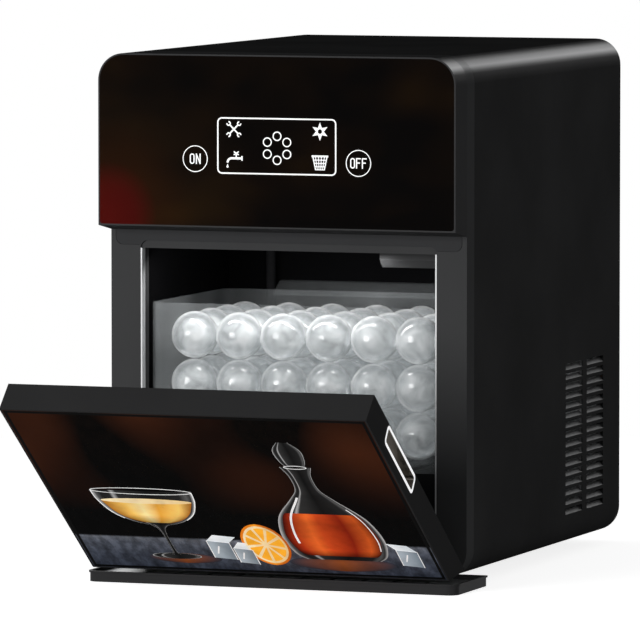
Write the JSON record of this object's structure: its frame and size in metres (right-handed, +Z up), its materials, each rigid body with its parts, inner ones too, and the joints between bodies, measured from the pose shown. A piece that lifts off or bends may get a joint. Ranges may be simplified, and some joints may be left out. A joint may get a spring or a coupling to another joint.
{
  "type": "countertop ice ball maker",
  "caption": "Countertop ice ball maker with a glass control head, a tip-down glazed door, a clear ice bin, a drip tray and louvred sides.",
  "frame": {"origin": "on the counter, in the middle of the width, under the front face of the lower frame", "axes": "+X to the right as seen from the front, +Y to the rear, +Z up"},
  "size_m": [0.406, 0.8355, 0.547],
  "materials": {
    "shell_paint": "fine satin powder coat",
    "frame_plastic": "fine matt moulding",
    "strip_metal": "satin",
    "trim_metal": "bright",
    "head_plastic": "gloss",
    "control_glass": "black back-printed glass",
    "display": "dark window",
    "circuit_board": "solder mask",
    "door_plastic": "fine matt moulding",
    "printed_glass": "back-printed glass, glossy",
    "foam": "foamed in place",
    "liner_plastic": "semi-gloss liner",
    "gasket_rubber": "matt",
    "grip_chrome": "bright",
    "steel": "brushed",
    "clear_plastic": "frosted clear",
    "tray_plastic": "satin moulding",
    "aluminium": "cast, anodised",
    "copper": "drawn copper tube",
    "white_plastic": "satin",
    "black_plastic": "satin",
    "pan_steel": "zinc plated",
    "rubber": "matt",
    "compressor_paint": "gloss black enamel"
  },
  "bodies": {
    "cabinet": {"outer_shell": "shell_paint", "back_panel": "pan_steel", "base_pan": "pan_steel", "feet": "rubber", "front_frame": "frame_plastic", "frame_top_strip": "strip_metal", "opening_trims": "trim_metal", "head_housing": "head_plastic", "control_glass": "control_glass", "display_module": "display", "touch_sensors": "display", "control_board": "circuit_board", "hinge_lugs": "steel", "cavity_liner": "liner_plastic", "insulation": "foam", "bin_shelf": "black_plastic", "tank_cover": "black_plastic", "ice_chute": "clear_plastic", "bin_sensor": "frame_plastic", "water_tank": "white_plastic", "water_pump": "black_plastic", "pump_riser": "rubber", "water_swivel": "black_plastic", "upper_mould": "aluminium", "evaporator_coil": "copper", "mould_housing": "black_plastic", "mould_posts": "steel", "tilt_motor": "black_plastic", "compressor": "compressor_paint", "compressor_grommets": "rubber", "condenser": "aluminium", "fan_shroud": "black_plastic", "fan_motor": "black_plastic", "discharge_pipe": "copper", "suction_pipe": "copper", "liquid_pipe": "copper", "filter_drier": "copper", "hot_gas_valve": "steel", "power_board_box": "white_plastic", "power_inlet": "black_plastic", "water_inlet_valve": "white_plastic"},
    "door": {"door_casing": "door_plastic", "door_glass": "printed_glass", "door_foam": "foam", "door_liner": "liner_plastic", "door_gasket": "gasket_rubber", "grip_pans": "grip_chrome", "hinge_pins": "steel"},
    "bin": {"ice_bin": "clear_plastic"},
    "tray": {"drip_tray": "tray_plastic", "tray_grille": "steel"},
    "mould": {"lower_mould": "aluminium"},
    "fan": {"fan_rotor": "black_plastic"}
  },
  "joints": [
    {"name": "door_hinge", "type": "hinge", "parent": "cabinet", "child": "door", "pos_m": [0, -0.011, 0.0206], "axis": [1, 0, 0], "range_deg": [-54, 4]},
    {"name": "tray_slide", "type": "slide", "parent": "cabinet", "child": "tray", "axis": [0, -1, 0], "range_m": [0, 0.11]},
    {"name": "bin_lift", "type": "slide", "parent": "cabinet", "child": "bin", "axis": [0, 0, 1], "range_m": [0, 0.02]},
    {"name": "mould_tilt", "type": "hinge", "parent": "cabinet", "child": "mould", "pos_m": [0, 0.249, 0.357], "axis": [1, 0, 0], "range_deg": [0, 10]},
    {"name": "fan_spin", "type": "hinge", "parent": "cabinet", "child": "fan", "pos_m": [0.136, 0.3935, 0.128], "axis": [1, 0, 0], "continuous": true}
  ]
}
